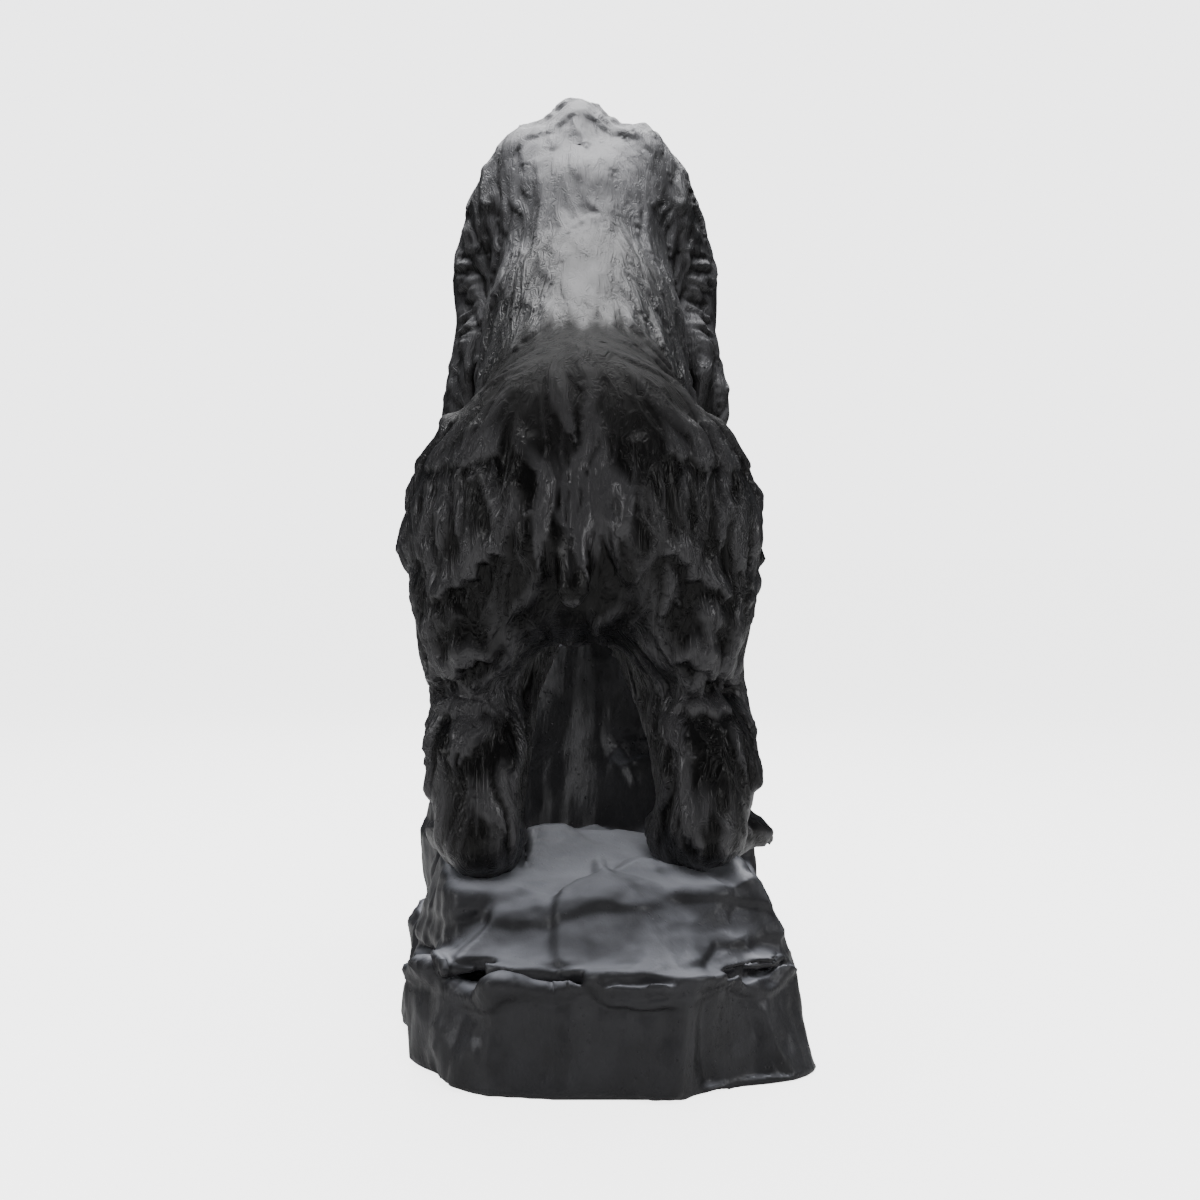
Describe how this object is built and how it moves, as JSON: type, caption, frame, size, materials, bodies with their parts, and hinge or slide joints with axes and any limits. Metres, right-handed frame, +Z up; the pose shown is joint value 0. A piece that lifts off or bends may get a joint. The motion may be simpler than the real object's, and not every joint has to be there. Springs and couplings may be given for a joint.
{
  "type": "bear sculpture",
  "caption": "Life-size cast bronze bear climbing onto a crag, its hind paws on a low ledge and its forepaws on the higher rock in front, head raised, near-black patina.",
  "frame": {"origin": "middle of the underside of the whole part's bounding box, on the floor", "axes": "+Z up; the bear faces -Y, so its tail is toward +Y; +X is the bear's left"},
  "size_m": [0.8636, 1.9602, 2.0927],
  "materials": {
    "figure_bronze": "dark patina, semi-gloss",
    "rock_bronze": "dark patina, semi-gloss, dusty on top"
  },
  "bodies": {
    "root": {"bear": "figure_bronze", "rock_base": "rock_bronze"}
  },
  "joints": []
}
